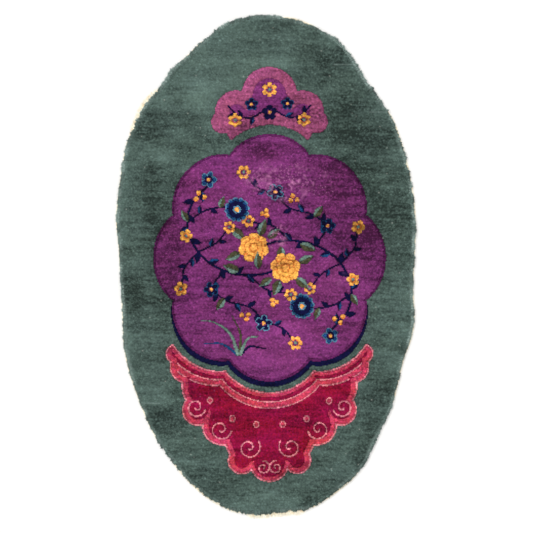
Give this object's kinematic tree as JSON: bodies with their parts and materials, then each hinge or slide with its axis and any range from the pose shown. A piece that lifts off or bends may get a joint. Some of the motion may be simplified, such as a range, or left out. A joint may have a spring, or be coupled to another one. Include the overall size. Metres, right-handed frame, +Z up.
{
  "type": "chinese art deco rug",
  "caption": "Flat oval hand-knotted wool pile rug with an uneven cut rim, and a frayed cotton foundation that shows along its edge.",
  "frame": {"origin": "middle of the rug's box, on the floor it lies on", "axes": "+Z up out of the pile, +Y towards the head of the rug along its length, +X to the right seen from above"},
  "size_m": [0.91, 1.5226, 0.012],
  "materials": {
    "wool_pile": "sheared wool pile in sage green, purple, crimson, navy and gold",
    "cotton_foundation": "undyed cotton warp and weft, frayed"
  },
  "bodies": {
    "root": {"rug_cloth": "wool_pile", "cotton_edge_head_right": "cotton_foundation", "cotton_edge_right_shoulder": "cotton_foundation", "cotton_edge_right_side": "cotton_foundation", "cotton_edge_right_flank": "cotton_foundation", "cotton_edge_foot_right": "cotton_foundation", "cotton_edge_foot_middle": "cotton_foundation", "cotton_edge_foot_left": "cotton_foundation", "cotton_edge_left_flank": "cotton_foundation", "cotton_edge_left_side": "cotton_foundation", "cotton_edge_left_shoulder": "cotton_foundation", "cotton_edge_head_left": "cotton_foundation"}
  },
  "joints": []
}
